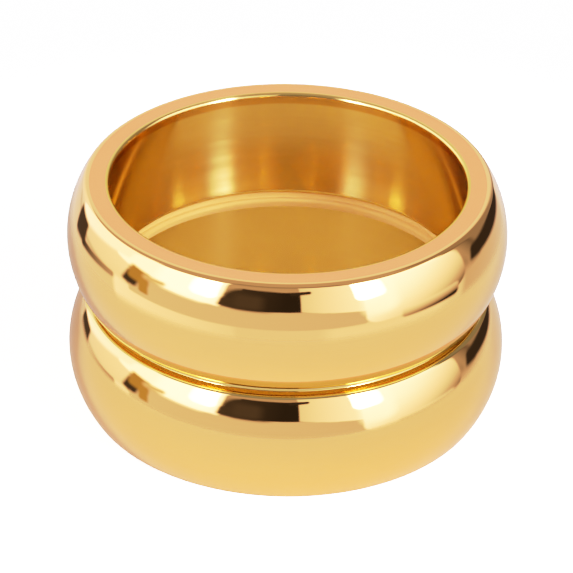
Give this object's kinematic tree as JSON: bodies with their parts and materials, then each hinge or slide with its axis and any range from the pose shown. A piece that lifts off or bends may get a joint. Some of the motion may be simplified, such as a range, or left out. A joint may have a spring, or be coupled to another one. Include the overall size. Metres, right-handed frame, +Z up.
{
  "type": "double band ring",
  "caption": "Polished gold-coloured finger ring of twin domed bands joined one above the other, with a groove between them and a smooth bore.",
  "frame": {"origin": "on the bore's axis at the flat face that the ring rests on", "axes": "+Z up along the bore's axis; X and Y are free, because the ring is round"},
  "size_m": [0.022, 0.022, 0.0122],
  "materials": {
    "gold_polish": "mirror polished, with a warm gold colour"
  },
  "bodies": {
    "root": {"double_band": "gold_polish"}
  },
  "joints": []
}
